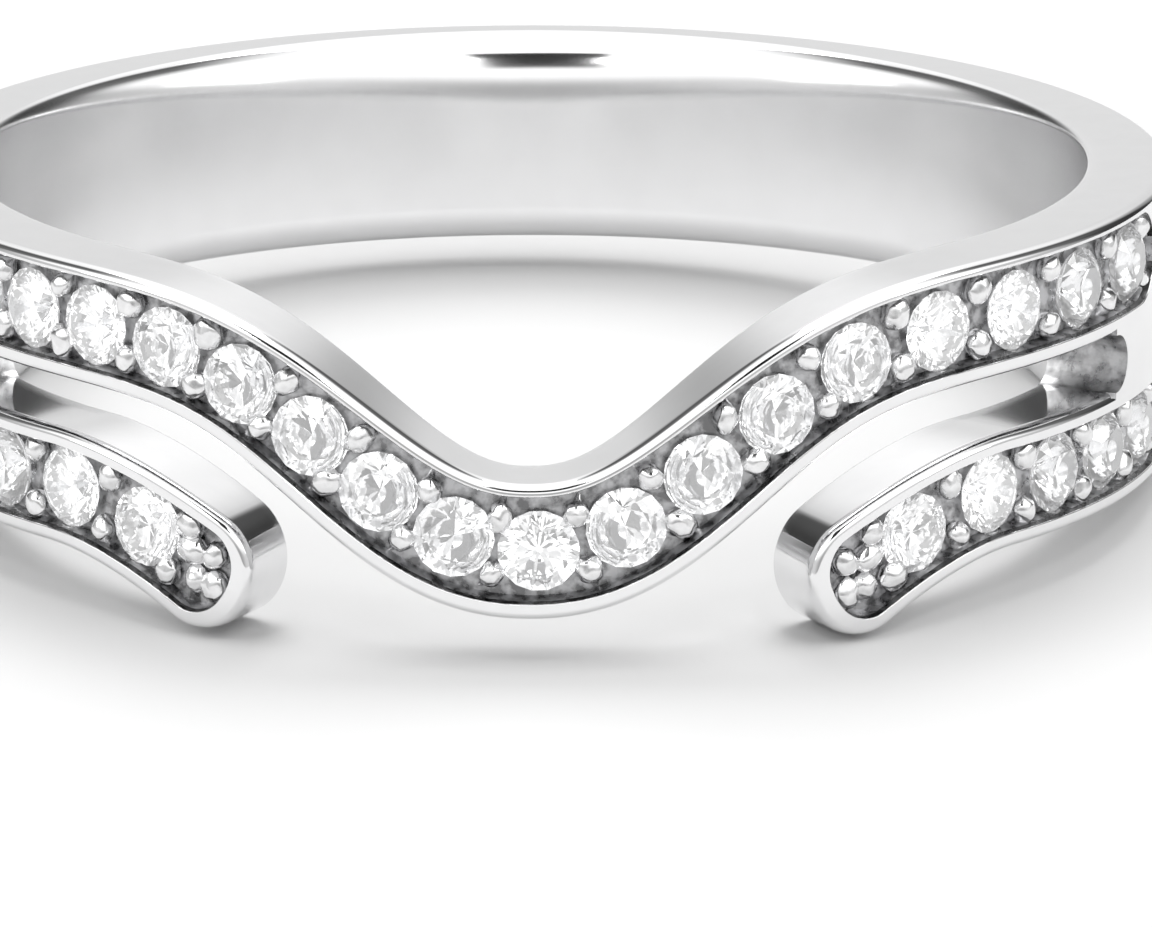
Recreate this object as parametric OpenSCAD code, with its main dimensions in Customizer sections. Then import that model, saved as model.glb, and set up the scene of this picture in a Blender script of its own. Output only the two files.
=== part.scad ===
// Ring guard enhancer: a finger ring whose front splits into a dipped upper arm and two short lower arms,
// each with a sunk channel of round cut stones held by small beads of the same metal.
// The ring lies on its side. Its two low tips lift the front a little, so the whole ring leans back.

/* [Finger hole] */
// Diameter of the finger hole
finger_d = 17.3; // [14.9:0.1:21.4]

/* [Band] */
// Thickness of the metal, from the finger hole to the outer face
wall_t = 1.3; // [1.2:0.05:1.8]
// Height of the plain band at the back
back_h = 3.4; // [2.9:0.1:4]
// Angle from the front where the band's lower edge starts to rise
rise_start = 110; // [100:1:118]
// Angle from the front where the band has come down to its height at the back
rise_end = 138; // [128:1:160]
// Angle from the front where the arms have grown into the plain band
band_start = 80; // [76:1:86]
// How far the inner top edge at the back is rounded into the finger hole
ease_reach = 0.8; // [0.3:0.05:1]
// How far that rounding comes down the inner wall at the back
ease_drop = 1.1; // [0.5:0.05:1.4]

/* [Arms] */
// Width of the upper arm's face at the sides
upper_w = 1.83; // [1.76:0.01:2.1]
// Width of the upper arm's face at the lowest point of its dip
dip_w = 2.05; // [1.8:0.01:2.3]
// How far the middle of the upper arm dips at the front
dip_depth = 2.86; // [1.5:0.02:3.1]
// Distance from the front centre, along the face, where the dip is down to about a third
dip_reach = 3.67; // [3.2:0.01:4.2]
// How square the dip is: 2 is a bell, more is flatter at the bottom with steeper flanks
dip_shape = 2.27; // [2:0.01:2.6]
// Clear height between the upper arm and the left lower arm at the side
left_gap = 0.78; // [0.7:0.01:1.1]
// The same on the right, where the lower arm is set a little lower
right_gap = 0.9; // [0.7:0.01:1.1]
// Angle from the front where the gap between the arms ends
gap_end = 66; // [62:1:70]
// Width of a lower arm's face at the sides
lower_w = 1.8; // [1.7:0.01:2]
// Width of a lower arm's face at its round tip
tip_w = 1.86; // [1.74:0.01:2.1]
// Distance from the front centre, along the face, to the centre of a round tip
tip_place = 5.2; // [4.9:0.05:5.8]
// How far the middle of a lower arm comes down at its tip
tip_drop = 0.84; // [0.5:0.02:1]
// Length over which a lower arm bends down to its tip
tip_bend = 3; // [2.4:0.1:3.6]

/* [Setting] */
// Width of the plain rim above the upper arm's channel
upper_rim = 0.17; // [0.15:0.01:0.22]
// Width of the plain rim below it
under_rim = 0.26; // [0.22:0.01:0.28]
// Width of the plain rim on each side of a lower arm's channel
lower_rim = 0.25; // [0.2:0.01:0.28]
// Width of the rim at a lower arm's round tip
tip_rim = 0.36; // [0.25:0.01:0.45]
// How far a channel's walls lean outwards
channel_slope = 0.07; // [0.02:0.01:0.1]
// Depth of the channels below the outer face
channel_depth = 0.3; // [0.25:0.01:0.4]
// How far the rounding of an outer edge comes in on the side face
edge_in = 0.22; // [0.1:0.01:0.3]
// How far the rounding of an outer edge comes onto the outer face
edge_on = 0.13; // [0.06:0.01:0.16]
// Bevel on the edges of the finger hole
inner_bevel = 0.06; // [0.03:0.01:0.1]

/* [Stones] */
// Diameter of a stone
stone_d = 1.22; // [1:0.01:1.25]
// How far a stone's girdle lies below the outer face
girdle_sink = 0.2; // [0.18:0.01:0.26]
// How far right of the front centre the upper arm's middle stone sits
row_shift = 0.12; // [-0.2:0.01:0.2]
// Space between the middle stone and the next one, on the left of the upper arm
left_space = 0.08; // [0.07:0.01:0.14]
// The same on the right, where the row is set a little wider
right_space = 0.15; // [0.07:0.01:0.2]
// How much wider the row is set towards its left end
left_spread = 0.0008; // [0:0.0001:0.0012]
// How much wider the row is set towards its right end
right_spread = 0.0023; // [0:0.0001:0.0024]
// Number of stones on the left of the upper arm's middle stone
left_count = 9; // [7:1:9]
// Number of stones on the right of it
right_count = 8; // [7:1:8]
// Space from a lower arm's tip centre to its first stone
tip_space = 0.51; // [0.44:0.01:0.69]
// Space between the stones of a lower arm
lower_space = 0.4; // [0.23:0.01:0.46]
// Number of stones on each lower arm
lower_count = 5; // [3:1:5]

/* [Beads] */
// Diameter of a bead that holds two stones
bead_d = 0.38; // [0.3:0.01:0.4]
// How far the beads stand out of the channel's floor
bead_rise = 0.32; // [0.28:0.01:0.34]
// Distance of the beads from the middle of a channel
bead_offset = 0.43; // [0.4:0.01:0.48]

/* [Hidden] */
upper_count = left_count + 1 + right_count;
metal = [0.86, 0.86, 0.87];
stone_white = [0.95, 0.97, 1];

bore_r = finger_d / 2;
outer_r = bore_r + wall_t;
// The two sides are 1 for the right and -1 for the left
sides = [-1, 1];
function gap(side) = side < 0 ? left_gap : right_gap;
// Height of the band where the arms have grown into it
function side_h(side) = upper_w + gap(side) + lower_w;
tall_h = max(side_h(-1), side_h(1));

// The arms and the web between them are let into the band by these amounts, so that no two faces coincide
arm_let = 0.015;
web_let = 0.008;
burial = 4;
// The pieces reach this far into the finger hole before it is cut
hole_over = 0.1;
// The band's inner rounding starts this far inside the finger hole, so that the hole cuts it cleanly
ease_over = 0.012;
stone_clear = 0.015;
channel_end_margin = 0.2;

// Turns a place on the unrolled outer face into a point of the ring at radius r. Zero is the front centre.
function wrap(s, z, r) = let (a = s / outer_r * 180 / PI) [r * sin(a), -r * cos(a), z];
function along(angle) = outer_r * angle * PI / 180;
function turn(s) = s / outer_r * 180 / PI;

// Middle line of the upper arm on the unrolled face, its slope and its half width
function dip(s) = exp(-pow(abs(s) / dip_reach, dip_shape));
function upper_z(s) = -upper_w / 2 - dip_depth * dip(s);
function upper_slope(s) = sign(s) * dip_depth * dip(s) * dip_shape / dip_reach
    * pow(abs(s) / dip_reach, dip_shape - 1);
function upper_half(s) = (upper_w + (dip_w - upper_w) * dip(s)) / 2;

// The same for a lower arm, drawn on the right. The left one is turned over to its own side.
function lower_level(side) = -upper_w - gap(side) - lower_w / 2;
function bend(s) = max(0, 1 - (s - tip_place) / tip_bend);
function lower_z(side, s) = lower_level(side) - tip_drop * pow(bend(s), 2);
function lower_slope(s) = 2 * tip_drop / tip_bend * bend(s);
function lower_half(s) = (lower_w + (tip_w - lower_w) * bend(s)) / 2;

// Unit normal, pointing up, of a middle line with a given slope
function normal(slope) = [-slope, 1] / norm([slope, 1]);

// Length along a middle line, as a table that lookup() reads both ways
line_step = 0.05;
line_end = along(90);
upper_points = [for (s = [0:line_step:line_end]) [s, upper_z(s)]];
lower_points = [for (s = [tip_place:line_step:line_end]) [s, lower_z(1, s)]];
function lengths(points, i = 0, sum = 0) = i == len(points) ? [] : concat(
    [[sum, points[i][0]]],
    lengths(points, i + 1, i + 1 < len(points) ? sum + norm(points[i + 1] - points[i]) : sum)
);
upper_line = lengths(upper_points);
lower_line = lengths(lower_points);

// Places of the stones along the unrolled face, from left to right on the upper arm
left_pitch = stone_d + left_space;
right_pitch = stone_d + right_space;
function spread(i, pitch, growth) = pitch * i * (1 + growth * i * i);
function upper_place(length) = sign(length) * lookup(abs(length), upper_line);
left_places = [for (i = [left_count:-1:1]) upper_place(row_shift - spread(i, left_pitch, left_spread))];
right_places = [for (i = [1:right_count]) upper_place(row_shift + spread(i, right_pitch, right_spread))];
upper_places = concat(left_places, [upper_place(row_shift)], right_places);
first_stone = tip_space + stone_d / 2;
lower_pitch = stone_d + lower_space;
lower_places = [for (i = [0:lower_count - 1]) lookup(first_stone + i * lower_pitch, lower_line)];

// A channel ends a little past its last stone
stone_reach = stone_d / 2 + channel_end_margin;
upper_left_end = upper_places[0] - stone_reach;
upper_right_end = upper_places[upper_count - 1] + stone_reach;
lower_end = lower_places[lower_count - 1] + stone_reach;

// Points across one edge of an arm, from the finger hole out over the rim to the channel's floor.
// Each is [distance in from the edge, radius]. Where there is no channel the last one stays on the face.
fillet_steps = 3;
function arm_edge(rim, floor_in, depth, let_in) = concat(
    [[inner_bevel + hole_over, bore_r - hole_over + let_in], [let_in, bore_r + inner_bevel + let_in]],
    [for (i = [0:fillet_steps]) let (a = 90 * i / fillet_steps) [
        let_in + edge_on * (1 - cos(a)),
        outer_r - let_in - edge_in * (1 - sin(a))
    ]],
    [[rim, outer_r - 2 * let_in], [floor_in, outer_r - 3 * let_in - depth]]
);

// One ring of points around an arm: down its upper edge, across the channel and back along its lower edge.
// Each edge is a point [s, z] on the unrolled face, the direction that leads inwards from it, and its points.
function arm_ring(upper, upper_in, upper_edge, lower, lower_in, lower_edge) = concat(
    [for (p = upper_edge) let (q = upper + p[0] * upper_in) wrap(q[0], q[1], p[1])],
    [for (i = [len(lower_edge) - 1:-1:0]) let (p = lower_edge[i], q = lower + p[0] * lower_in)
        wrap(q[0], q[1], p[1])]
);

// A ring of points across an arm whose middle line passes c with normal n. The channel's end is round,
// so its half width depends on the distance left before the end. Past the end that is negative.
function cross_ring(c, n, half, rims, before, let_in) = let (
    full = half - (rims[0] + rims[1]) / 2,
    wide = before >= full ? full : max(end_least, sqrt(max(0, 2 * full * before - before * before))),
    edges = [for (rim = rims) let (in = rim + full - wide)
        before < -0.001 ? arm_edge(in, in + end_least / 2, 0, let_in)
            : arm_edge(in, in + channel_slope, channel_depth, let_in)]
) arm_ring(c + half * n, -n, edges[0], c - half * n, n, edges[1]);

// Closed solid through rings of points that all have the same number of points
module skin(rings) {
    count = len(rings[0]);
    last = (len(rings) - 1) * count;
    sides = [for (i = [0:len(rings) - 2], j = [0:count - 1]) let (
        a = i * count + j,
        b = i * count + (j + 1) % count
    ) each [[a, a + count, b], [b, a + count, b + count]]];
    near_end = [for (j = [0:count / 2 - 2]) let (k = count - 1 - j) each [[j, j + 1, k], [j + 1, k - 1, k]]];
    far_end = [for (f = near_end) [last + f[0], last + f[2], last + f[1]]];
    polyhedron([for (r = rings) each r], concat(sides, near_end, far_end), convexity = 10);
}

upper_step = 0.42;
// Distances of the rings before a channel's end, and the half width of its end wall
end_steps = [-0.04, 0, 0.07, 0.2, 0.42, 0.7];
end_least = 0.22;
buried_end = along(band_start + burial);
let_start = along(band_start) - 0.06;

// Places of the rings along the upper arm: even steps, with closer ones at the channel's round ends
function end_places(at, dir) = [for (e = end_steps) at - dir * e];
end_length = end_steps[len(end_steps) - 1];
upper_first = upper_left_end + end_length + upper_step;
upper_last = upper_right_end - end_length - upper_step / 2;
upper_rings = sort_places(concat(
    [-buried_end, -let_start - 0.04, -let_start],
    [for (s = [upper_first:upper_step:upper_last]) s],
    end_places(upper_left_end, -1),
    end_places(upper_right_end, 1),
    [let_start, let_start + 0.04, buried_end]
));
function sort_places(list) = len(list) <= 1 ? list : let (
    pivot = list[floor(len(list) / 2)],
    low = [for (x = list) if (x < pivot) x],
    same = [for (x = list) if (x == pivot) x],
    high = [for (x = list) if (x > pivot) x]
) concat(sort_places(low), [same[0]], sort_places(high));

upper_arm_rings = [for (s = upper_rings) let (
    half = upper_half(s),
    before = min(s - upper_left_end, upper_right_end - s),
    let_in = abs(s) > let_start + 0.001 ? arm_let : 0
) cross_ring([s, upper_z(s)], normal(upper_slope(s)), half, [upper_rim, under_rim], before, let_in)];
module upper_arm() {
    skin(upper_arm_rings);
}

// A lower arm, from its round tip back into the band. The rim grows towards the very end of the tip.
lower_step = 0.42;
tip_steps = 8;
function tip_centre(side) = [tip_place, lower_z(side, tip_place)];
tip_up = normal(lower_slope(tip_place));
tip_out = [-tip_up[1], tip_up[0]];
function tip_dir(a) = cos(a) * tip_out + sin(a) * tip_up;
function tip_rings(side) = [for (i = [0:tip_steps - 1]) let (
    a = 90 * (i + 0.5) / (tip_steps + 0.5),
    top = tip_dir(a),
    bottom = tip_dir(-a),
    rim = lower_rim + (tip_rim - lower_rim) * pow(cos(a), 2),
    edge = arm_edge(rim, rim + channel_slope, channel_depth, 0),
    centre = tip_centre(side)
) arm_ring(centre + tip_w / 2 * top, -top, edge, centre + tip_w / 2 * bottom, -bottom, edge)];
lower_rings = sort_places(concat(
    [for (s = [tip_place:lower_step:lower_end - end_length - lower_step / 2]) s],
    end_places(lower_end, 1),
    [let_start + 0.04, buried_end]
));

function lower_arm_rings(side) = concat(tip_rings(side), [for (s = lower_rings) let (
    middle = [s, lower_z(side, s)],
    rims = [lower_rim, lower_rim],
    let_in = s > let_start + 0.001 ? arm_let : 0
) cross_ring(middle, normal(lower_slope(s)), lower_half(s), rims, lower_end - s, let_in)]);
module lower_arm(side) {
    turned(side) skin(lower_arm_rings(side));
}

// The plain band, from where the arms meet it round the back. Its inner edges are rounded more and more
// towards the back, and its lower edge rises there.
band_step = 4;
ease_steps = 4;
function back_share(angle) = let (a = min(angle, 360 - angle)) max(0, (a - 90) / 90);
function rise(angle) = let (
    a = min(angle, 360 - angle),
    t = min(1, max(0, (a - rise_start) / (rise_end - rise_start)))
) (1 - cos(180 * t)) / 2;
function band_height(angle) = let (side_now = side_h(angle < 180 ? 1 : -1))
    side_now + (back_h - side_now) * rise(angle);
function eased_edge(reach, drop) = concat(
    [for (i = [0:ease_steps]) let (a = 90 * i / ease_steps) [
        drop * (1 - sin(a)),
        bore_r - ease_over + (reach + ease_over) * (1 - cos(a))
    ]],
    [for (i = [0:fillet_steps]) let (a = 90 * i / fillet_steps) [
        edge_on * (1 - cos(a)),
        outer_r - edge_in * (1 - sin(a))
    ]]
);
function band_edge(reach, drop) = let (edge = eased_edge(reach, drop))
    concat([[edge[0][0] + hole_over, bore_r - hole_over]], edge);

function eased(value, share) = inner_bevel + (value - inner_bevel) * share;
band_count = ceil((360 - 2 * band_start) / band_step);
band_rings = [for (i = [0:band_count]) let (
    angle = band_start + (360 - 2 * band_start) * i / band_count,
    s = along(angle),
    share = pow(back_share(angle), 1.3),
    under_share = min(1, 2 * back_share(angle)) / 2,
    top = band_edge(eased(ease_reach, share), eased(ease_drop, share)),
    bottom = band_edge(eased(ease_reach, under_share), eased(ease_drop, under_share)),
    low = -band_height(angle)
) concat(
    [for (p = top) wrap(s, -p[0], p[1])],
    [for (k = [len(bottom) - 1:-1:0]) wrap(s, low + bottom[k][0], bottom[k][1])]
)];
module band() {
    skin(band_rings);
}

// The web that closes the gap between the arms, with a round end. It reaches into both arms by web_over and
// into the finger hole by web_in.
web_over = edge_on + 0.042;
web_in = 0.06;
module web(side) {
    level = -upper_w - gap(side) / 2;
    centre = gap_end - turn(gap(side) / 2);
    turned(side) difference() {
        rotate([0, 0, centre - 90])
            rotate_extrude(angle = band_start + burial / 2 - centre, $fn = 360)
                translate([bore_r - web_in, level - gap(side) / 2 - web_over])
                    square([wall_t + web_in - web_let, gap(side) + 2 * web_over]);
        radial(along(centre), level, bore_r - 2 * hole_over)
            cylinder(h = wall_t + 4 * hole_over, d = gap(side), $fn = 48);
    }
}

// Stands its children on the outer face at a place on it, with +Z pointing out and the origin at radius r
module radial(s, z, r) {
    rotate([0, 0, turn(s) - 90]) translate([r, 0, z]) rotate([0, 90, 0]) children();
}

// Turns what is drawn on the right over to its own side
module turned(side) {
    scale([side, 1, 1]) children();
}

// Seat cut for a stone, a cone with a short wall above it, and the bead between two stones
pavilion_h = stone_d / 2 * tan(40.8);
girdle_t = 0.02 * stone_d;
module seat(s, z) {
    seat_r = stone_d / 2 + stone_clear;
    deep = pavilion_h * seat_r / (stone_d / 2);
    top = deep + girdle_t + girdle_sink + hole_over;
    radial(s, z, outer_r - girdle_sink - girdle_t - deep)
        rotate_extrude($fn = 32) polygon([[0, 0], [seat_r, deep], [seat_r, top], [0, top]]);
}
module bead(s, z) {
    radial(s, z, outer_r - channel_depth + bead_rise - bead_d / 2) sphere(d = bead_d, $fn = 24);
}

// Beads stand in pairs halfway between neighbours in a row, and at each end of it
function mid_places(list) = [for (i = [0:len(list) - 2]) (list[i] + list[i + 1]) / 2];
upper_beads = concat(
    [upper_places[0] - stone_d / 2 - 0.02],
    mid_places(upper_places),
    [upper_places[upper_count - 1] + stone_d / 2 + 0.02]
);
lower_beads = concat(mid_places(lower_places), [lower_places[lower_count - 1] + stone_d / 2 + 0.02]);

module upper_bead_pairs() {
    middle = (under_rim - upper_rim) / 2;
    for (s = upper_beads, edge = [-1, 1]) {
        p = [s, upper_z(s)] + (middle + edge * bead_offset) * normal(upper_slope(s));
        bead(p[0], p[1]);
    }
}
// A lower tip's own beads: a pair beside the first stone and four in the round end.
// Columns: distance from the tip's centre towards its end, distance towards its upper edge.
tip_beads = [
    [-0.49, 0.43],
    [-0.49, -0.43],
    [-0.25, 0.12],
    [0.02, -0.21],
    [0.12, 0.29],
    [0.33, -0.14]
];
module lower_bead_pairs(side) {
    turned(side) {
        for (s = lower_beads, edge = [-1, 1]) {
            p = [s, lower_z(side, s)] + edge * bead_offset * normal(lower_slope(s));
            bead(p[0], p[1]);
        }
        for (place = tip_beads) {
            p = tip_centre(side) + place[0] * tip_out + place[1] * tip_up;
            bead(p[0], p[1]);
        }
    }
}

// The ring rests on both sides of the band, where the lower edge starts to rise, and on the lower tip.
// One side may reach lower than the other, so the ring is rolled a little before it leans back.
low_side = side_h(1) >= side_h(-1) ? 1 : -1;
tip_r = bore_r + inner_bevel;
side_r = outer_r - edge_in;
roll = atan((side_h(1) - side_h(-1)) / (2 * side_r * sin(rise_start)));
function rolled(p) = [p[0] * cos(roll) - p[2] * sin(roll), p[1], p[0] * sin(roll) + p[2] * cos(roll)];
tip_touch = rolled([
    low_side * tip_r * sin(turn(tip_place)),
    -tip_r * cos(turn(tip_place)),
    tip_centre(low_side)[1] - tip_w / 2
]);
side_touch = rolled([side_r * sin(rise_start), -side_r * cos(rise_start), -side_h(1)]);
lean = atan((side_touch[2] - tip_touch[2]) / (side_touch[1] - tip_touch[1]));
function leaned(p) = [p[0], p[1] * cos(lean) + p[2] * sin(lean), p[2] * cos(lean) - p[1] * sin(lean)];

// The origin is in the middle of the ring's box, on the floor
shape_points = [for (p = [
    for (r = upper_arm_rings) each r,
    for (side = sides, r = lower_arm_rings(side)) for (p = r) [side * p[0], p[1], p[2]],
    for (r = band_rings) each r
]) leaned(rolled(p))];
box_low = [for (i = [0:2]) min([for (p = shape_points) p[i]])];
box_high = [for (i = [0:2]) max([for (p = shape_points) p[i]])];
module rest() {
    translate([-(box_low[0] + box_high[0]) / 2, -(box_low[1] + box_high[1]) / 2, -box_low[2]])
        rotate([-lean, 0, 0]) rotate([0, -roll, 0]) children();
}

module ring() {
    color(metal) rest() difference() {
        union() {
            upper_arm();
            for (side = sides) lower_arm(side);
            for (side = sides) web(side);
            band();
            upper_bead_pairs();
            for (side = sides) lower_bead_pairs(side);
        }
        translate([0, 0, -3 * tall_h]) cylinder(h = 4 * tall_h, d = finger_d, $fn = 180);
        for (s = upper_places) seat(s, upper_z(s));
        for (side = sides, s = lower_places) turned(side) seat(s, lower_z(side, s));
    }
}

// A round brilliant with its girdle's top at the origin and its table towards +Z.
// Corners are [radius, height, angle in steps of 22.5 degrees].
crown_angle = 34.5;
table_share = 0.57;
star_share = 0.72;
lower_share = 0.24;
module brilliant() {
    r = stone_d / 2;
    table_r = table_share * r;
    table_z = (r - table_r) * tan(crown_angle);
    star_r = star_share * r;
    star_z = (r - star_r * cos(22.5)) * tan(crown_angle);
    keel_r = lower_share * r;
    keel_z = -girdle_t - (r - keel_r * cos(22.5)) * pavilion_h / r;
    function corner(rad, z, step) = [rad * cos(22.5 * step), rad * sin(22.5 * step), z];
    points = concat(
        [for (i = [0:7]) corner(table_r, table_z, 2 * i)],
        [for (i = [0:7]) corner(star_r, star_z, 2 * i + 1)],
        [for (i = [0:15]) corner(r, 0, i)],
        [for (i = [0:15]) corner(r, -girdle_t, i)],
        [for (i = [0:7]) corner(keel_r, keel_z, 2 * i + 1)],
        [[0, 0, -girdle_t - pavilion_h]]
    );
    table = 0;
    star = 8;
    top = 16;
    low = 32;
    keel = 48;
    tip = 56;
    faces = concat(
        [[for (i = [7:-1:0]) table + i]],
        [for (i = [0:7]) let (n = (i + 1) % 8) each [
            [table + i, table + n, star + i],
            [table + n, top + 2 * n, star + i],
            [table + i, star + i, top + 2 * i],
            [star + i, top + 2 * i + 1, top + 2 * i],
            [star + i, top + 2 * n, top + 2 * i + 1],
            [keel + i, low + 2 * i, low + 2 * i + 1],
            [keel + i, low + 2 * i + 1, low + 2 * n],
            [tip, low + 2 * i, keel + i],
            [tip, keel + i, low + 2 * n]
        ]],
        [for (i = [0:15]) let (n = (i + 1) % 16) each [
            [top + i, top + n, low + i],
            [top + n, low + n, low + i]
        ]]
    );
    polyhedron(points, faces, convexity = 2);
}

// A stone in its seat, turned about its own axis by a different amount for each number
module stone(s, z, number) {
    color(stone_white) rest() radial(s, z, outer_r - girdle_sink)
        rotate([0, 0, 17 * number]) brilliant();
}
module upper_stone(i) {
    s = upper_places[i - 1];
    stone(s, upper_z(s), i);
}
module lower_stone(side, i) {
    s = lower_places[i - 1];
    stone(side * s, lower_z(side, s), i + side);
}

ring();
for (i = [1:upper_count]) upper_stone(i);
for (i = [1:lower_count]) lower_stone(-1, i);
for (i = [1:lower_count]) lower_stone(1, i);
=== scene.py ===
# Ring guard enhancer, dressed for the camera: a polished white metal ring with bead-set round stones.
# It rests on a pale floor under soft studio light and leans back a little.
import math
import random

import bpy
from mathutils import Euler, Matrix, Vector, noise


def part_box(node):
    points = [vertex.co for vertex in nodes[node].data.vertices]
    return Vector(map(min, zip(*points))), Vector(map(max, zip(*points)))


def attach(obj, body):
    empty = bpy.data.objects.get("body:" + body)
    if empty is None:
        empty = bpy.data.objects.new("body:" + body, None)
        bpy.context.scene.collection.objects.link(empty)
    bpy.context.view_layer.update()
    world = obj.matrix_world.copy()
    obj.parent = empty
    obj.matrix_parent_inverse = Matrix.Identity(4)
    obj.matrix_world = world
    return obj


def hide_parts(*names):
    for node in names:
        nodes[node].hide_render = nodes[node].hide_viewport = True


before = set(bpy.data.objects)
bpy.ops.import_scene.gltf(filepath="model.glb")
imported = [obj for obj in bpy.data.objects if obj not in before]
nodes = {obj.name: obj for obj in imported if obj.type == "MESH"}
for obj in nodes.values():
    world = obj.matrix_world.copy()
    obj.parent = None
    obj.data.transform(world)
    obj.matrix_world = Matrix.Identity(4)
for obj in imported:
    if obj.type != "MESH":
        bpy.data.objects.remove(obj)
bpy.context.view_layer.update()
scene = bpy.context.scene
MM = 0.001


# The plain band is the back of the one cast ring, of white metal. It is polished all over, as tall at the
# sides as both arms, and lower at the back, where its inner edges are rounded to slip over the finger.
bore_r = 8.65 * MM
outer_r = 9.95 * MM
band_start = 80
back_h = 3.4 * MM
upper_w = 1.83 * MM
lower_w = 1.8 * MM
arm_gap = {-1: 0.78 * MM, 1: 0.9 * MM}
inner_bevel = 0.06 * MM
edge_in = 0.22 * MM
edge_on = 0.13 * MM
rise_from = 110
rise_over = 28
soft_from = 90
soft_reach = 0.8 * MM
soft_drop = 1.1 * MM
band_parts = 160
sunk_least = 0.05 * MM
bore_rough = 0.22
edge_rough = 0.07
edge_rough_from = 0.3 * MM
lean = math.radians(4.73843)
roll = math.radians(0.375984)
ring_place = Vector((-0.01487, 0.19813, 4.7424)) * MM
to_row = Matrix.Translation(ring_place) @ Matrix.Rotation(-lean, 4, "X") @ Matrix.Rotation(-roll, 4, "Y")


def metal(name, dark, light, grain, bump, rough=None):
    """White metal with a fine grain in its colour and surface, and in its roughness between two values."""
    material = bpy.data.materials.new(name)
    material.use_nodes = True
    tree = material.node_tree
    shader = tree.nodes["Principled BSDF"]
    shader.inputs["Metallic"].default_value = 1
    place = tree.nodes.new("ShaderNodeTexCoord")
    grains = tree.nodes.new("ShaderNodeTexNoise")
    grains.inputs["Scale"].default_value = 1 / grain
    grains.inputs["Detail"].default_value = 3
    tree.links.new(place.outputs["Object"], grains.inputs["Vector"])
    if rough:
        spread = tree.nodes.new("ShaderNodeMapRange")
        spread.inputs["From Min"].default_value = 0.35
        spread.inputs["From Max"].default_value = 0.65
        spread.inputs["To Min"].default_value = rough[0]
        spread.inputs["To Max"].default_value = rough[1]
        tree.links.new(grains.outputs["Fac"], spread.inputs["Value"])
        tree.links.new(spread.outputs["Result"], shader.inputs["Roughness"])
    tint = tree.nodes.new("ShaderNodeValToRGB")
    tint.color_ramp.elements[0].position = 0.38
    tint.color_ramp.elements[0].color = (*dark, 1)
    tint.color_ramp.elements[1].position = 0.62
    tint.color_ramp.elements[1].color = (*light, 1)
    tree.links.new(grains.outputs["Fac"], tint.inputs["Fac"])
    tree.links.new(tint.outputs["Color"], shader.inputs["Base Color"])
    relief = tree.nodes.new("ShaderNodeBump")
    relief.inputs["Strength"].default_value = bump
    relief.inputs["Distance"].default_value = grain * 0.1
    tree.links.new(grains.outputs["Fac"], relief.inputs["Height"])
    tree.links.new(relief.outputs["Normal"], shader.inputs["Normal"])
    return material


polished = metal("polished_white_metal", (0.815, 0.815, 0.82), (0.83, 0.83, 0.835), 0.5 * MM, 0.003)


def on_ring(s, z, r):
    """The place at length s along the outer face from the front, at height z and radius r."""
    return to_row @ Vector((r * math.sin(s / outer_r), -r * math.cos(s / outer_r), z))


def shell(name, rings, metals, finishes):
    """A closed shell through rings of (s, z, r) points.

    Each strip between two points gets the metal that its finish names by number. Where it isn't sunk it
    gets the first.
    """
    count = len(rings[0])
    points = [on_ring(*p) for ring in rings for p in ring]
    faces = []
    slots = []
    for i in range(len(rings) - 1):
        for j in range(count):
            k = (j + 1) % count
            faces.append((i * count + j, i * count + k, (i + 1) * count + k, (i + 1) * count + j))
            lowest = min(ring[p][2] for ring in rings[i : i + 2] for p in (j, k))
            slots.append(finishes[j] if lowest < outer_r - sunk_least else 0)
    last = (len(rings) - 1) * count
    faces.append(tuple(range(count - 1, -1, -1)))
    faces.append(tuple(range(last, last + count)))
    slots += [0, 0]
    mesh = bpy.data.meshes.new(name)
    mesh.from_pydata(points, [], faces)
    for finish in metals:
        mesh.materials.append(finish)
    for face, slot in zip(mesh.polygons, slots):
        face.material_index = slot
    piece = bpy.data.objects.new(name, mesh)
    scene.collection.objects.link(piece)
    return piece


def choose(*pieces):
    """Selects these objects alone."""
    bpy.ops.object.select_all(action="DESELECT")
    for piece in pieces:
        piece.select_set(True)
    bpy.context.view_layer.objects.active = pieces[0]


def close_up(piece):
    """Merges doubled points and turns all faces outwards."""
    choose(piece)
    bpy.ops.object.mode_set(mode="EDIT")
    bpy.ops.mesh.select_all(action="SELECT")
    bpy.ops.mesh.remove_doubles(threshold=0.00002 * MM)
    bpy.ops.mesh.dissolve_degenerate(threshold=0.00002 * MM)
    bpy.ops.mesh.normals_make_consistent(inside=False)
    bpy.ops.object.mode_set(mode="OBJECT")


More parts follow.
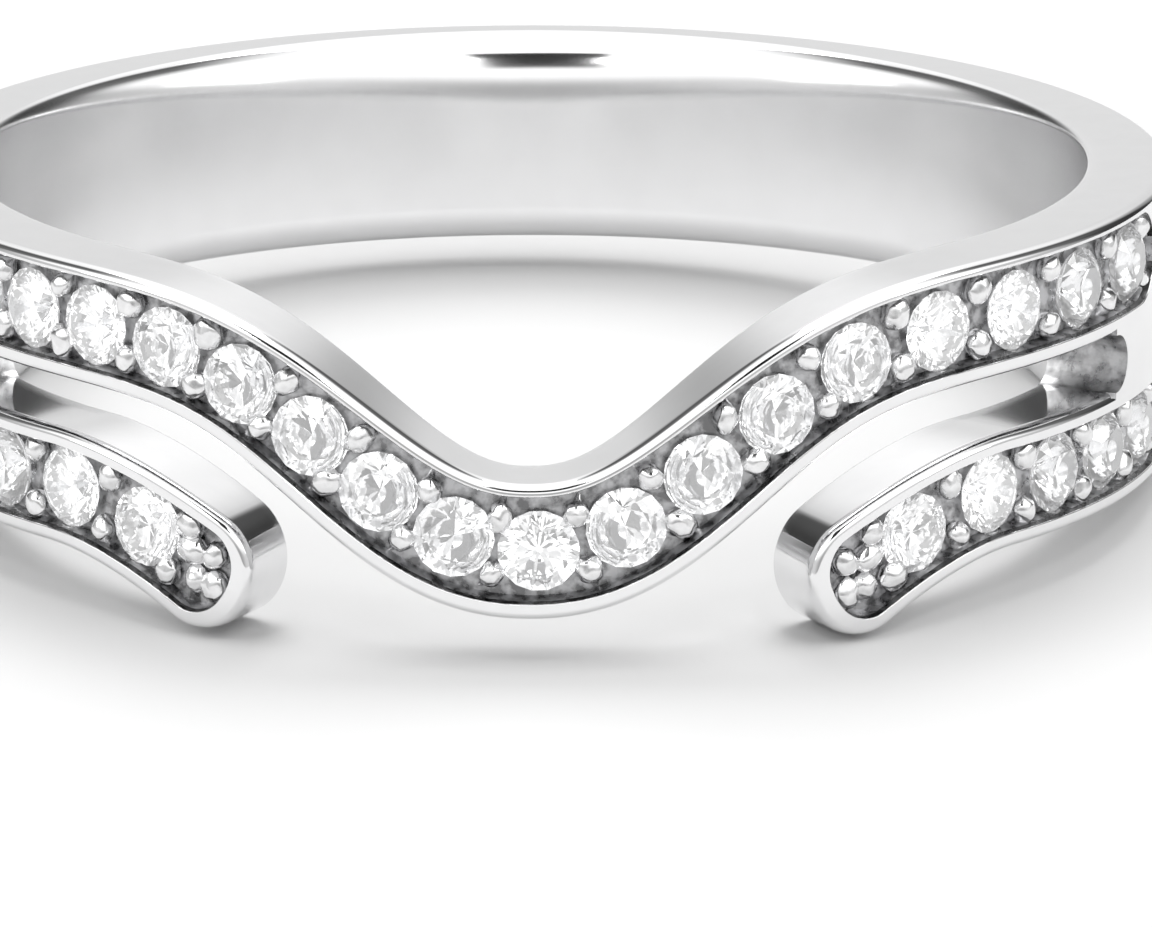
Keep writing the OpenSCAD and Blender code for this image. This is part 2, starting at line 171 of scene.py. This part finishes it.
def soften_bore(material):
    """Gives the wall of the finger hole a softer shine than the rounded edges that lead into it."""
    tree = material.node_tree
    shader = tree.nodes["Principled BSDF"]
    place = tree.nodes.new("ShaderNodeTexCoord")
    upright = tree.nodes.new("ShaderNodeMapping")
    upright.vector_type = "TEXTURE"
    upright.inputs["Location"].default_value = to_row.to_translation()
    upright.inputs["Rotation"].default_value = to_row.to_euler("XYZ")
    split = tree.nodes.new("ShaderNodeSeparateXYZ")
    level = tree.nodes.new("ShaderNodeCombineXYZ")
    reach = tree.nodes.new("ShaderNodeVectorMath")
    reach.operation = "LENGTH"
    shine = tree.nodes.new("ShaderNodeMapRange")
    shine.inputs["From Min"].default_value = bore_r
    shine.inputs["From Max"].default_value = bore_r + edge_rough_from
    shine.inputs["To Min"].default_value = bore_rough
    shine.inputs["To Max"].default_value = edge_rough
    tree.links.new(place.outputs["Object"], upright.inputs["Vector"])
    tree.links.new(upright.outputs["Vector"], split.inputs["Vector"])
    tree.links.new(split.outputs["X"], level.inputs["X"])
    tree.links.new(split.outputs["Y"], level.inputs["Y"])
    tree.links.new(level.outputs["Vector"], reach.inputs[0])
    tree.links.new(reach.outputs["Value"], shine.inputs["Value"])
    tree.links.new(shine.outputs["Result"], shader.inputs["Roughness"])


soften_bore(polished)


def dress(piece):
    """Gives a piece of the cast ring its even shine and its place in the part.

    The shine is evened out at a thousand times the real size, because faces this small count for nothing.
    """
    choose(piece)
    piece.data.transform(Matrix.Scale(1 / MM, 4))
    bpy.ops.object.shade_smooth_by_angle(angle=math.radians(32))
    shine = piece.modifiers.new("even_shine", "WEIGHTED_NORMAL")
    shine.keep_sharp = True
    bpy.ops.object.modifier_apply(modifier=shine.name)
    piece.data.transform(Matrix.Scale(MM, 4))
    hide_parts("ring")
    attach(piece, "root")


def quarter(steps, across, down):
    """Points of a rounded edge with these two reaches, from its end on one face to its end on the next."""
    turns = [math.pi / 2 * i / steps for i in range(steps + 1)]
    return [(across * (1 - math.cos(a)), down * (1 - math.sin(a))) for a in turns]


def band_section(angle):
    """One section of the band at an angle from the front: its top edge, then its lower edge back again."""
    from_front = min(angle, 360 - angle)
    height = upper_w + arm_gap[1 if angle < 180 else -1] + lower_w
    risen = min(1, max(0, (from_front - rise_from) / rise_over))
    height += (back_h - height) * (1 - math.cos(math.pi * risen)) / 2
    back = max(0, (from_front - soft_from) / (180 - soft_from))
    above = ((7 * back - back**7) / 6) ** 1.55
    under = min(1, 2 * back) * (1 - min(1, 2 * back) / 2)
    rows = []
    for share in (above, under):
        reach = inner_bevel + (soft_reach - inner_bevel) * share
        drop = inner_bevel + (soft_drop - inner_bevel) * share
        inner = [(down, bore_r + away) for away, down in quarter(10, reach, drop)]
        outer = [(down, outer_r - away) for down, away in quarter(6, edge_on, edge_in)]
        rows.append(inner + outer)
    s = math.radians(angle) * outer_r
    return [(s, -down, r) for down, r in rows[0]] + [(s, down - height, r) for down, r in reversed(rows[1])]


band_angles = [band_start + (360 - 2 * band_start) * i / band_parts for i in range(band_parts + 1)]
band_rings = [band_section(a) for a in band_angles]
plain_band = shell("plain_band", band_rings, (polished,), [0] * len(band_rings[0]))
close_up(plain_band)
dress(plain_band)


# The upper arm runs across the front with a dip in its middle. Its face is cut down between two thin rims.
# The graver leaves the walls and the floor of this channel a little rough. Their grey is darkened
# with painted shade of the sunken channel, and a dark line of painted shade runs along each rim.
dip_w = 2.05 * MM
dip_depth = 2.86 * MM
dip_reach = 3.67 * MM
dip_shape = 2.27
channel_depth = 0.3 * MM
channel_slope = 0.07 * MM
rim_edge = 0.014 * MM
graver = 0.014 * MM
graver_grain = 0.13 * MM
wall_shares = (0.35, 0.7, 1)
floor_parts = 9
arm_end = math.radians(band_start) * outer_r
end_least = 0.22 * MM
arm_step = 0.09 * MM
close_steps = (-0.012, 0, 0.01, 0.03, 0.06, 0.1, 0.15, 0.22, 0.3)
step_gap = 0.02 * MM
upper_rims = (0.17 * MM, 0.26 * MM)
# The channel metal's mottled grain is its finish. Its dark grey is painted shade of the sunken channel.
tooled_shaded_metal = metal("tooled_channel_metal_painted_shade", (0.17, 0.17, 0.173), (0.52, 0.52, 0.53), 0.19 * MM, 0.4, (0.22, 0.4))
# A near-black line of painted shade along the rims, where the channel's walls lie in shadow.
painted_rim_shade = metal("painted_rim_shade_line", (0.03, 0.03, 0.03), (0.12, 0.12, 0.122), 0.15 * MM, 0.4, (0.2, 0.4))
arm_metals = (polished, tooled_shaded_metal, painted_rim_shade)


def rim_profile(rim, depth, slope):
    """Points across an arm's edge down to the channel's floor, as (distance in from the edge, radius)."""
    profile = [(down, bore_r + away) for away, down in quarter(3, inner_bevel, inner_bevel)]
    profile += [(down, outer_r - away) for down, away in quarter(7, edge_on, edge_in)]
    turned = min(rim_edge, depth)
    profile += [(rim - rim_edge, outer_r), (rim, outer_r - turned)]
    return profile + [(rim + slope * t, outer_r - max(depth * t, turned)) for t in wall_shares]


def arm_section(upper, upper_in, lower, lower_in, rims, depth):
    """One section of an arm between two points of its edges, each with the direction that leads inwards."""
    top = [(upper + upper_in * d, r) for d, r in rim_profile(rims[0], depth, channel_slope)]
    bottom = [(lower + lower_in * d, r) for d, r in rim_profile(rims[1], depth, channel_slope)]
    across = [i / floor_parts for i in range(1, floor_parts)]
    bed = [(top[-1][0].lerp(bottom[-1][0], t), top[-1][1]) for t in across]
    bore = [(bottom[0][0].lerp(top[0][0], t), bore_r) for t in across]
    section = top + bed + bottom[::-1]
    tooled_from = len(top) - len(wall_shares)
    points = []
    for i, (place, r) in enumerate(section):
        if depth and tooled_from <= i < len(section) - tooled_from:
            r += graver * noise.noise(Vector((place.x, place.y, 0)) / graver_grain)
        points.append((place.x, place.y, r))
    return points + [(place.x, place.y, r) for place, r in bore]


def arm_finishes(points):
    """The finish of each strip of a section: tooled, with painted shade, inside the rims and a painted
    shade line along each.
    """
    first = len(rim_profile(0, 0, 0)) - len(wall_shares) - 1
    last = first + floor_parts + 2 * len(wall_shares) - 1
    return [2 if j in (first, last) else 1 if first < j < last else 0 for j in range(points)]


def upper_line(s):
    """Height, slope and half width of the upper arm's middle line."""
    dip = math.exp(-((abs(s) / dip_reach) ** dip_shape))
    steep = dip_depth * dip * dip_shape / dip_reach * (abs(s) / dip_reach) ** (dip_shape - 1)
    half = (upper_w + (dip_w - upper_w) * dip) / 2
    return -upper_w / 2 - dip_depth * dip, math.copysign(steep, s), half


def channel_sides(half, rims, left):
    """Rims and depth of a channel that ends round, for a section with this length left before its end."""
    full = half - (rims[0] + rims[1]) / 2
    wide = full
    if left < full:
        wide = max(end_least, math.sqrt(max(0, 2 * full * left - left * left)))
    return [rim + full - wide for rim in rims], channel_depth if left >= 0 else 0


def crossing(s, z, slope, half, rims, left):
    """The section of an arm square to its middle line at (s, z)."""
    up = Vector((-slope, 1)).normalized()
    middle = Vector((s, z))
    rims, depth = channel_sides(half, rims, left)
    return arm_section(middle + up * half, -up, middle - up * half, up, rims, depth)


def stations(start, stop, ends):
    """Even steps from start to stop, with closer ones next to the round ends of a channel."""
    count = round((stop - start) / arm_step)
    places = [start + (stop - start) * i / count for i in range(count + 1)]
    for end, way in ends:
        near = [end - way * d * MM for d in close_steps]
        places = [p for p in places if not min(near) - step_gap < p < max(near) + step_gap] + near
    return sorted(places)


upper_ends = (-12.4455 * MM, 12.8006 * MM)
upper_rings = []
for s in stations(-arm_end, arm_end, ((upper_ends[0], -1), (upper_ends[1], 1))):
    z, slope, half = upper_line(s)
    left = min(s - upper_ends[0], upper_ends[1] - s)
    upper_rings.append(crossing(s, z, slope, half, upper_rims, left))
upper_arm = shell("upper_arm", upper_rings, arm_metals, arm_finishes(len(upper_rings[0])))
close_up(upper_arm)


# The two lower arms are short arms of the same metal, bend down a little and end in round tips. Their rims
# are wider than the upper arm's, and widest at the very tip.
tip_w = 1.86 * MM
tip_place = 5.2 * MM
tip_drop = 0.84 * MM
tip_bend = 3 * MM
lower_rim = 0.25 * MM
tip_rim = 0.36 * MM
lower_end = 13.4599 * MM
tip_steps = 22


def lower_line(side, s):
    """Height, slope and half width of a lower arm's middle line, at length s from the front on its side."""
    bend = max(0, 1 - (s - tip_place) / tip_bend)
    level = -upper_w - arm_gap[side] - lower_w / 2
    half = (lower_w + (tip_w - lower_w) * bend) / 2
    return level - tip_drop * bend**2, 2 * tip_drop / tip_bend * bend, half


tip_up = Vector((-lower_line(1, tip_place)[1], 1)).normalized()
tip_out = Vector((-tip_up.y, tip_up.x))


def lower_arm(name, side):
    """A lower arm. It is drawn on the right and turned over for the left."""
    centre = Vector((tip_place, lower_line(side, tip_place)[0]))
    rings = []
    for i in range(tip_steps):
        a = math.pi / 2 * i / tip_steps
        top = math.cos(a) * tip_out + math.sin(a) * tip_up
        bottom = math.cos(a) * tip_out - math.sin(a) * tip_up
        rim = lower_rim + (tip_rim - lower_rim) * math.cos(a) ** 2
        ends = (centre + tip_w / 2 * top, -top, centre + tip_w / 2 * bottom, -bottom)
        rings.append(arm_section(*ends, (rim, rim), channel_depth))
    for s in stations(tip_place, arm_end, ((lower_end, 1),)):
        rings.append(crossing(s, *lower_line(side, s), (lower_rim, lower_rim), lower_end - s))
    rings = [[(side * s, z, r) for s, z, r in ring] for ring in rings]
    arm = shell(name, rings, arm_metals, arm_finishes(len(rings[0])))
    close_up(arm)
    return arm


left_arm = lower_arm("left_lower_arm", -1)
right_arm = lower_arm("right_lower_arm", 1)


# Each stone sits in a seat of its own: a cone for its lower half with a short wall round its girdle, cut
# into the channel with a burr. The burr is one cone with a raised top, set under every stone in turn.
stone_d = 1.22 * MM
girdle_sink = 0.2 * MM
seat_play = 0.015 * MM
seat_angle = math.radians(40.8)
girdle_half = 0.02 * stone_d
seat_proud = 0.15 * MM
seat_r = stone_d / 2 + seat_play
seat_deep = seat_r * math.tan(seat_angle)
seat_low = outer_r - girdle_sink - girdle_half - seat_deep
bpy.ops.object.select_all(action="DESELECT")
bpy.ops.mesh.primitive_cone_add(vertices=40, radius1=0, radius2=seat_r, depth=seat_deep)
burr = bpy.context.object
burr.data.transform(Matrix.Translation((0, 0, seat_deep / 2)))
bpy.ops.object.mode_set(mode="EDIT")
bpy.ops.mesh.select_all(action="DESELECT")
bpy.ops.object.mode_set(mode="OBJECT")
for face in burr.data.polygons:
    face.select = face.normal.z > 0.9
bpy.ops.object.mode_set(mode="EDIT")
bpy.ops.mesh.extrude_region_move(TRANSFORM_OT_translate={"value": (0, 0, girdle_sink + seat_proud)})
bpy.ops.object.mode_set(mode="OBJECT")
burr.location = (0, 0, 0)


def standing(s, z, r):
    """The frame of a thing that stands on the outer face: Z points out and the origin is at radius r."""
    turn = Matrix.Rotation(s / outer_r - math.pi / 2, 4, "Z")
    return to_row @ turn @ Matrix.Translation((r, 0, z)) @ Matrix.Rotation(math.pi / 2, 4, "Y")


def stone_place(name):
    """Length along the outer face and height of a stone's middle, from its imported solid."""
    low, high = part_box(name)
    p = to_row.inverted() @ ((low + high) / 2)
    return math.atan2(p.x, -p.y) * outer_r, p.z


upper_stones = [stone_place("upper_stone_%d" % i) for i in range(1, 19)]
lower_stones = {
    -1: [stone_place("lower_left_stone_%d" % i) for i in range(1, 6)],
    1: [stone_place("lower_right_stone_%d" % i) for i in range(1, 6)],
}


def cut_seats(arm, places):
    """Cuts a seat into an arm for each of these stones."""
    cutters = []
    for s, z in places:
        cutter = burr.copy()
        cutter.data = burr.data.copy()
        cutter.data.transform(standing(s, z, seat_low))
        scene.collection.objects.link(cutter)
        cutters.append(cutter)
    choose(*cutters)
    bpy.ops.object.join()
    tool = bpy.context.object
    choose(arm)
    cut = arm.modifiers.new("seats", "BOOLEAN")
    cut.operation = "DIFFERENCE"
    cut.solver = "MANIFOLD"
    cut.object = tool
    bpy.ops.object.modifier_apply(modifier=cut.name)
    bpy.data.objects.remove(tool)


for finish in arm_metals:
    burr.data.materials.append(finish)
cut_seats(upper_arm, upper_stones)
cut_seats(left_arm, lower_stones[-1])
cut_seats(right_arm, lower_stones[1])
bpy.data.objects.remove(burr)
for arm in (upper_arm, left_arm, right_arm):
    dress(arm)


# The webs are the metal that closes the slot between the arms at the sides. Each has a round end, left as
# it was cast, and its faces lie a hair below the faces of the arms that it joins.
gap_end = math.radians(66) * outer_r
web_over = 0.172 * MM
web_skin = 0.003 * MM
web_into_band = 0.6 * MM
web_parts = 24
cast = metal("as_cast_metal", (0.34, 0.34, 0.345), (0.66, 0.66, 0.665), 0.22 * MM, 0.5, (0.24, 0.4))


def web(name, side):
    """The web on one side, drawn in strips along the ring from its round end into the band."""
    half = arm_gap[side] / 2
    level = -upper_w - half
    centre = gap_end - half
    turns = [-math.pi / 2 + math.pi * i / web_parts for i in range(web_parts + 1)]
    starts = [(centre, -half - web_over)]
    starts += [(centre + half * math.cos(a), half * math.sin(a)) for a in turns]
    starts.append((centre, half + web_over))
    stop = arm_end + web_into_band
    rings = []
    for s0, dz in starts:
        line = [s0 + (stop - s0) * i / web_parts for i in range(web_parts + 1)]
        outer = [(side * s, level + dz, outer_r - web_skin) for s in line]
        inner = [(side * s, level + dz, bore_r + web_skin) for s in reversed(line)]
        rings.append(outer + inner)
    round_end = len(rings[0]) - 1
    piece = shell(name, rings, (polished, cast), [int(j == round_end) for j in range(len(rings[0]))])
    close_up(piece)
    dress(piece)


web("left_web", -1)
web("right_web", 1)


# Small beads of the arms' own metal are raised between the stones with a graver and pushed over their
# edges. Each is a rounded grain on a foot, with a tail where the graver came from. One is shaped, and the
# others are copies that are stretched, leaned and made uneven, because each is cut by hand.
bead_d = 0.38 * MM
bead_top = outer_r - 0.03 * MM
bead_offset = 0.43 * MM
end_space = 0.02 * MM
upper_middle = 0.045 * MM
tip_bead_size = 1.08
uneven = 0.025 * MM
uneven_grain = 0.16 * MM
raised = metal("raised_bead_metal", (0.76, 0.76, 0.765), (0.86, 0.86, 0.865), 0.12 * MM, 0.3, (0.14, 0.26))
bpy.ops.object.select_all(action="DESELECT")
bpy.ops.mesh.primitive_cone_add(
    vertices=24,
    radius1=0.62 * bead_d,
    radius2=0.3 * bead_d,
    depth=0.8 * bead_d,
)
foot = bpy.context.object
foot.data.transform(Matrix.Translation((0, 0, -0.62 * bead_d)))
bpy.ops.mesh.primitive_cone_add(
    vertices=24,
    radius1=0.36 * bead_d,
    radius2=0.04 * bead_d,
    depth=0.95 * bead_d,
)
tail = bpy.context.object
tail_place = Matrix.Translation((0.42 * bead_d, 0, -0.2 * bead_d))
tail.data.transform(tail_place @ Matrix.Rotation(math.radians(112), 4, "Y"))
bpy.ops.mesh.primitive_uv_sphere_add(segments=24, ring_count=16, radius=bead_d / 2)
grain = bpy.context.object
for extra in (foot, tail):
    extra.select_set(True)
    extra.location = (0, 0, 0)
bpy.ops.object.join()
melt = grain.modifiers.new("melt", "REMESH")
melt.mode = "VOXEL"
melt.voxel_size = 0.03 * MM
bpy.ops.object.modifier_apply(modifier=melt.name)
soften = grain.modifiers.new("soften", "SMOOTH")
soften.factor = 0.6
soften.iterations = 5
bpy.ops.object.modifier_apply(modifier=soften.name)
chance = random.Random(11)
noise.seed_set(11)
beads = []


def set_bead(s, z, away, size=1.0):
    """One more bead on the outer face, with its tail towards a direction."""
    bead = grain.copy()
    bead.data = grain.data.copy()
    long = size * chance.uniform(1.1, 1.45)
    wide = size * chance.uniform(0.95, 1.25)
    stretch = Matrix.Diagonal((long, wide, 1, 1))
    tilt = Matrix.Rotation(math.radians(chance.uniform(-14, 14)), 4, "X")
    spin = Matrix.Rotation(math.atan2(away.x, -away.y) + chance.uniform(-0.7, 0.7), 4, "Z")
    bead.data.transform(standing(s, z, bead_top - bead_d / 2) @ spin @ tilt @ stretch)
    for vertex in bead.data.vertices:
        vertex.co += uneven * noise.noise_vector(vertex.co / uneven_grain)
    scene.collection.objects.link(bead)
    beads.append(bead)


def bead_pairs(side, stones, line, middle, first, last):
    """A pair of beads between neighbours in a row, and one at each end of it that is asked for."""
    along = [side * s for s, z in stones]
    places = [(a + b) / 2 for a, b in zip(along, along[1:])]
    places += [along[0] - stone_d / 2 - end_space] if first else []
    places += [along[-1] + stone_d / 2 + end_space] if last else []
    for s in places:
        z, slope, half = line(s)
        up = Vector((-slope, 1)).normalized()
        for edge in (-1, 1):
            place = Vector((s, z)) + up * (middle + edge * bead_offset)
            set_bead(side * place.x, place.y, Vector((side * up.x, up.y)) * edge)


bead_pairs(1, upper_stones, upper_line, upper_middle, True, True)
tip_beads = ((-0.49, 0.43), (-0.49, -0.43), (-0.25, 0.12), (0.02, -0.21), (0.12, 0.29), (0.33, -0.14))
for side in (-1, 1):
    bead_pairs(side, lower_stones[side], lambda s: lower_line(side, s), 0, False, True)
    centre = Vector((tip_place, lower_line(side, tip_place)[0]))
    for out, up in tip_beads:
        away = out * tip_out + up * tip_up
        place = centre + away * MM
        set_bead(side * place.x, place.y, Vector((side * away.x, away.y)), tip_bead_size)
bpy.data.objects.remove(grain)
choose(*beads)
bpy.ops.object.join()
setting_beads = bpy.context.object
setting_beads.name = "setting_beads"
setting_beads.data.materials.append(raised)
dress(setting_beads)


# The stones are small round cut stones, colourless and clear, and each sits in its seat under its beads.
# Their facets stay as cut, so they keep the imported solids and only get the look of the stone.
def clear_stone():
    """A colourless stone that bends light strongly, with a faint painted glow to brighten it, and a
    clouding too faint to see.
    """
    material = bpy.data.materials.new("clear_cut_stone")
    material.use_nodes = True
    tree = material.node_tree
    shader = tree.nodes["Principled BSDF"]
    shader.inputs["IOR"].default_value = 2.35
    shader.inputs["Transmission Weight"].default_value = 1
    # The stones get a faint painted glow that brightens them.
    shader.inputs["Emission Color"].default_value = (1, 1, 1, 1)
    shader.inputs["Emission Strength"].default_value = 0.08
    place = tree.nodes.new("ShaderNodeTexCoord")
    clouds = tree.nodes.new("ShaderNodeTexNoise")
    clouds.inputs["Scale"].default_value = 1 / (0.3 * MM)
    tree.links.new(place.outputs["Object"], clouds.inputs["Vector"])
    haze = tree.nodes.new("ShaderNodeMapRange")
    haze.inputs["To Max"].default_value = 0.03
    tree.links.new(clouds.outputs["Fac"], haze.inputs["Value"])
    tree.links.new(haze.outputs["Result"], shader.inputs["Roughness"])
    tint = tree.nodes.new("ShaderNodeMix")
    tint.data_type = "RGBA"
    tint.inputs["A"].default_value = (0.97, 0.98, 1, 1)
    tint.inputs["B"].default_value = (1, 1, 1, 1)
    tree.links.new(clouds.outputs["Fac"], tint.inputs["Factor"])
    tree.links.new(tint.outputs["Result"], shader.inputs["Base Color"])
    return material


stone_look = clear_stone()
for name, node in nodes.items():
    if "stone" in name:
        node.data.materials.clear()
        node.data.materials.append(stone_look)


# The floor is a plain pale sheet, far larger than the ring, at the height that the ring rests on.
bpy.ops.object.select_all(action="DESELECT")
bpy.ops.mesh.primitive_plane_add(size=2, location=(0, 0, 0))
floor = bpy.context.object
floor.name = "pale_floor"
floor_look = bpy.data.materials.new("pale_floor")
floor_look.use_nodes = True
floor_look.node_tree.nodes["Principled BSDF"].inputs["Base Color"].default_value = (0.645, 0.645, 0.645, 1)
floor_look.node_tree.nodes["Principled BSDF"].inputs["Roughness"].default_value = 0.8
floor.data.materials.append(floor_look)


# Soft studio light: a room that is white overhead, with grey walls and a dim gap behind the ring on each
# side. A large sheet of light hangs behind and above the ring, with a weaker one on each side. Two small
# lamps in front put the sparkle in the stones.
world = bpy.data.worlds.new("studio_room")
scene.world = world
world.use_nodes = True
room = world.node_tree
backdrop = room.nodes["Background"]
direction = room.nodes.new("ShaderNodeTexCoord")
split = room.nodes.new("ShaderNodeSeparateXYZ")
room.links.new(direction.outputs["Generated"], split.inputs["Vector"])
aside = room.nodes.new("ShaderNodeMath")
aside.operation = "ABSOLUTE"
room.links.new(split.outputs["X"], aside.inputs[0])
round_about = room.nodes.new("ShaderNodeMath")
round_about.operation = "ARCTAN2"
room.links.new(aside.outputs["Value"], round_about.inputs[0])
room.links.new(split.outputs["Y"], round_about.inputs[1])
half_turn = room.nodes.new("ShaderNodeMath")
half_turn.operation = "DIVIDE"
half_turn.inputs[1].default_value = math.pi
room.links.new(round_about.outputs["Value"], half_turn.inputs[0])


def grey_ramp(stops):
    """A ramp of greys from (position, grey) pairs."""
    ramp = room.nodes.new("ShaderNodeValToRGB")
    ramp.color_ramp.interpolation = "EASE"
    while len(ramp.color_ramp.elements) < len(stops):
        ramp.color_ramp.elements.new(0.5)
    for element, (position, grey) in zip(ramp.color_ramp.elements, stops):
        element.position = position
        element.color = (grey, grey, grey, 1)
    return ramp


def climbing(start, stop):
    """A mix of two colours that goes over to the second one with the height above the horizon."""
    rise = grey_ramp(((start, 0), (stop, 1)))
    room.links.new(split.outputs["Z"], rise.inputs["Fac"])
    mix = room.nodes.new("ShaderNodeMix")
    mix.data_type = "RGBA"
    room.links.new(rise.outputs["Color"], mix.inputs["Factor"])
    return mix


# The room's greys run from straight behind the ring, at 0, to straight in front of it, at 1.
wall_greys = (
    (0, 0.6),
    (0.1, 0.57),
    (0.15, 0.26),
    (0.2, 0.03),
    (0.3, 0.04),
    (0.42, 0.44),
    (0.7, 0.54),
    (1, 0.32),
)
slope_greys = ((0, 1), (0.12, 0.8), (0.19, 0.08), (0.3, 0.12), (0.42, 1))
wall_to_slope = climbing(0.25, 0.55)
for greys, end in ((wall_greys, "A"), (slope_greys, "B")):
    ramp = grey_ramp(greys)
    room.links.new(half_turn.outputs["Value"], ramp.inputs["Fac"])
    room.links.new(ramp.outputs["Color"], wall_to_slope.inputs[end])
slope_to_roof = climbing(0.72, 0.92)
room.links.new(wall_to_slope.outputs["Result"], slope_to_roof.inputs["A"])
slope_to_roof.inputs["B"].default_value = (1, 1, 1, 1)
room.links.new(slope_to_roof.outputs["Result"], backdrop.inputs["Color"])
backdrop.inputs["Strength"].default_value = 1.4


def light_sheet(name, place, size, power):
    """A square sheet of soft light that faces the ring."""
    light = bpy.data.lights.new(name, "AREA")
    light.shape = "SQUARE"
    light.size = size
    light.energy = power
    lamp = bpy.data.objects.new(name, light)
    lamp.location = place
    lamp.rotation_euler = (-Vector(place)).to_track_quat("-Z", "Y").to_euler()
    scene.collection.objects.link(lamp)


light_sheet("back_light", (0, 0.25, 0.45), 0.3, 1.2)
light_sheet("left_light", (-0.4, -0.1, 0.25), 0.2, 0.3)
light_sheet("right_light", (0.4, -0.1, 0.25), 0.2, 0.3)
light_sheet("left_sparkle", (-0.1, -0.174, 0.287), 0.06, 0.1)
light_sheet("right_sparkle", (0.1, -0.174, 0.287), 0.06, 0.1)


# A dark slot in the room's roof shows in the band's rounded inner edge, in the beads and in the stones. It
# is a plain black card that faces the ring from above the camera.
slot_place = Vector((-9, -103, 171)) * MM
slot_wide = 85 * MM
slot_deep = 97 * MM
bpy.ops.object.select_all(action="DESELECT")
bpy.ops.mesh.primitive_plane_add(size=1)
roof_slot = bpy.context.object
roof_slot.name = "roof_slot"
facing = (-slot_place).to_track_quat("Z", "Y").to_matrix().to_4x4()
card_size = Matrix.Diagonal((slot_wide, slot_deep, 1, 1))
roof_slot.data.transform(Matrix.Translation(slot_place) @ facing @ card_size)
card_look = bpy.data.materials.new("black_card")
card_look.use_nodes = True
card_look.node_tree.nodes["Principled BSDF"].inputs["Base Color"].default_value = (0.01, 0.01, 0.01, 1)
card_look.node_tree.nodes["Principled BSDF"].inputs["Roughness"].default_value = 0.9
roof_slot.data.materials.append(card_look)


# The camera is about 150 mm from the ring, in front of it and 19 degrees up, with a long lens.
lens = bpy.data.cameras.new("front_camera")
lens.sensor_width = 36
lens.lens = 301.25
lens.clip_start = 0.01
lens.clip_end = 5
camera = bpy.data.objects.new("front_camera", lens)
camera.location = Vector((-0.2303, -142.9548, 49.5439)) * MM
camera.rotation_euler = Euler([math.radians(a) for a in (70.7834, -0.3789, -0.2546)], "XYZ")
scene.collection.objects.link(camera)
scene.camera = camera
scene.view_settings.view_transform = "Standard"
